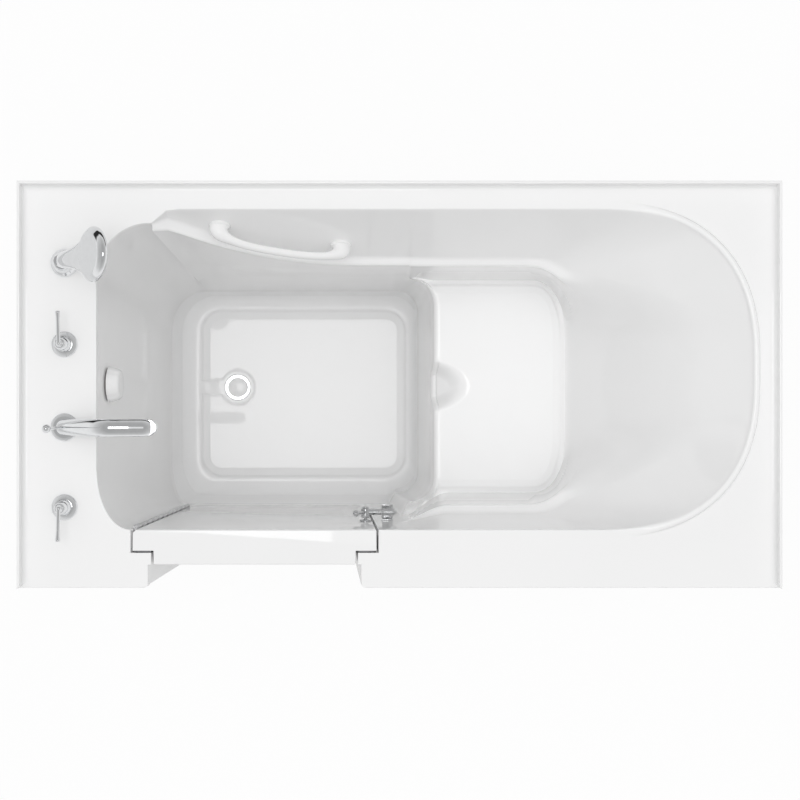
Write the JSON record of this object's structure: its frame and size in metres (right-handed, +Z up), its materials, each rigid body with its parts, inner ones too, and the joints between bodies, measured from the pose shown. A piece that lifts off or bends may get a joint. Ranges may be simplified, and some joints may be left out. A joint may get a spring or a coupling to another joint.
{
  "type": "walk in bathtub with door",
  "caption": "Alcove walk-in bathtub with a seat, footwell, inward-opening hinged door with latch, grab bar, deck taps, spout, hand shower, overflow and drain.",
  "frame": {"origin": "on the floor, under the middle of the tub footprint", "axes": "+X towards the head end, +Y towards the back wall, +Z up; the door and apron face -Y"},
  "size_m": [1.524, 0.813, 1.209],
  "materials": {
    "white_acrylic": "glossy moulded acrylic",
    "chrome": "polished",
    "steel": "satin",
    "brass": "cast, machined",
    "rubber": "matt",
    "plywood": "raw sheet",
    "copper": "drawn tube",
    "cable_sheath": "smooth sheath",
    "spray_face": "moulded"
  },
  "bodies": {
    "tub": {"tub_shell": "white_acrylic", "front_panel": "white_acrylic", "door_frame": "white_acrylic", "base_frame": "steel", "frame_posts": "steel", "floor_board": "plywood", "seat_board": "plywood", "levelling_feet": "rubber", "foot_locknuts": "steel", "panel_screws": "steel", "grab_bar": "white_acrylic", "grab_bar_bolts": "steel", "overflow_body": "brass", "overflow_gasket": "rubber", "overflow_pipe": "brass", "waste_tee": "brass", "drain_shoe": "brass", "drain_gasket": "rubber", "drain_flange": "chrome", "stopper_cable": "cable_sheath", "hinge_frame_leaf": "steel", "hinge_frame_screws": "steel", "hinge_pin": "steel", "latch_keeper": "chrome", "keeper_screws": "steel", "spout_body": "chrome", "spout_flange": "chrome", "spout_nut": "brass", "aerator": "chrome", "diverter_tee": "brass", "hot_escutcheon": "chrome", "cold_escutcheon": "chrome", "hot_valve": "brass", "cold_valve": "brass", "valve_nuts": "brass", "mixer_pipes": "copper", "shower_pipe": "copper", "shower_holder": "chrome", "holder_nut": "brass"},
    "door": {"door_inner_panel": "white_acrylic", "door_outer_panel": "white_acrylic", "door_stiffener": "steel", "door_gasket": "rubber", "hinge_door_leaf": "steel", "hinge_door_screws": "steel", "latch_base": "chrome", "latch_pivot": "chrome"},
    "latch": {"latch_lever": "chrome", "latch_ball": "chrome"},
    "hot_handle": {"hot_hub": "chrome", "hot_lever": "chrome"},
    "cold_handle": {"cold_hub": "chrome", "cold_lever": "chrome"},
    "diverter": {"diverter_rod": "chrome", "diverter_knob": "chrome"},
    "hand_shower": {"hand_shower": "chrome", "spray_plate": "spray_face"},
    "stopper": {"drain_stopper": "white_acrylic"},
    "overflow_handle": {"overflow_knob": "white_acrylic"}
  },
  "joints": [
    {"name": "door_swing", "type": "hinge", "parent": "tub", "child": "door", "pos_m": [-0.537, -0.289, 0.965], "axis": [-0.0251, 0, 0.9997], "range_deg": [0, 90]},
    {"name": "latch_turn", "type": "hinge", "parent": "door", "child": "latch", "pos_m": [-0.07289, -0.29, 0.735], "axis": [0, 1, 0], "range_deg": [0, 34]},
    {"name": "hot_turn", "type": "hinge", "parent": "tub", "child": "hot_handle", "pos_m": [-0.671, -0.2445, 0.965], "axis": [0, 0, 1], "range_deg": [0, 90]},
    {"name": "cold_turn", "type": "hinge", "parent": "tub", "child": "cold_handle", "pos_m": [-0.671, 0.0815, 0.965], "axis": [0, 0, -1], "range_deg": [0, 90]},
    {"name": "diverter_pull", "type": "slide", "parent": "tub", "child": "diverter", "axis": [0, 0, 1], "range_m": [0, 0.015]},
    {"name": "hand_shower_lift", "type": "slide", "parent": "tub", "child": "hand_shower", "axis": [0, 0, 1], "range_m": [0, 0.045]},
    {"name": "overflow_turn", "type": "hinge", "parent": "tub", "child": "overflow_handle", "pos_m": [-0.60225, 0.002, 0.865], "axis": [0.9989, 0, 0.0474], "range_deg": [0, 90]},
    {"name": "stopper_rise", "type": "slide", "parent": "tub", "child": "stopper", "axis": [0, 0, 1], "range_m": [0, 0.01]}
  ],
  "couplings": [
    {"joint": "stopper_rise", "follows": "overflow_turn", "m_per_rad": 0.00636}
  ]
}
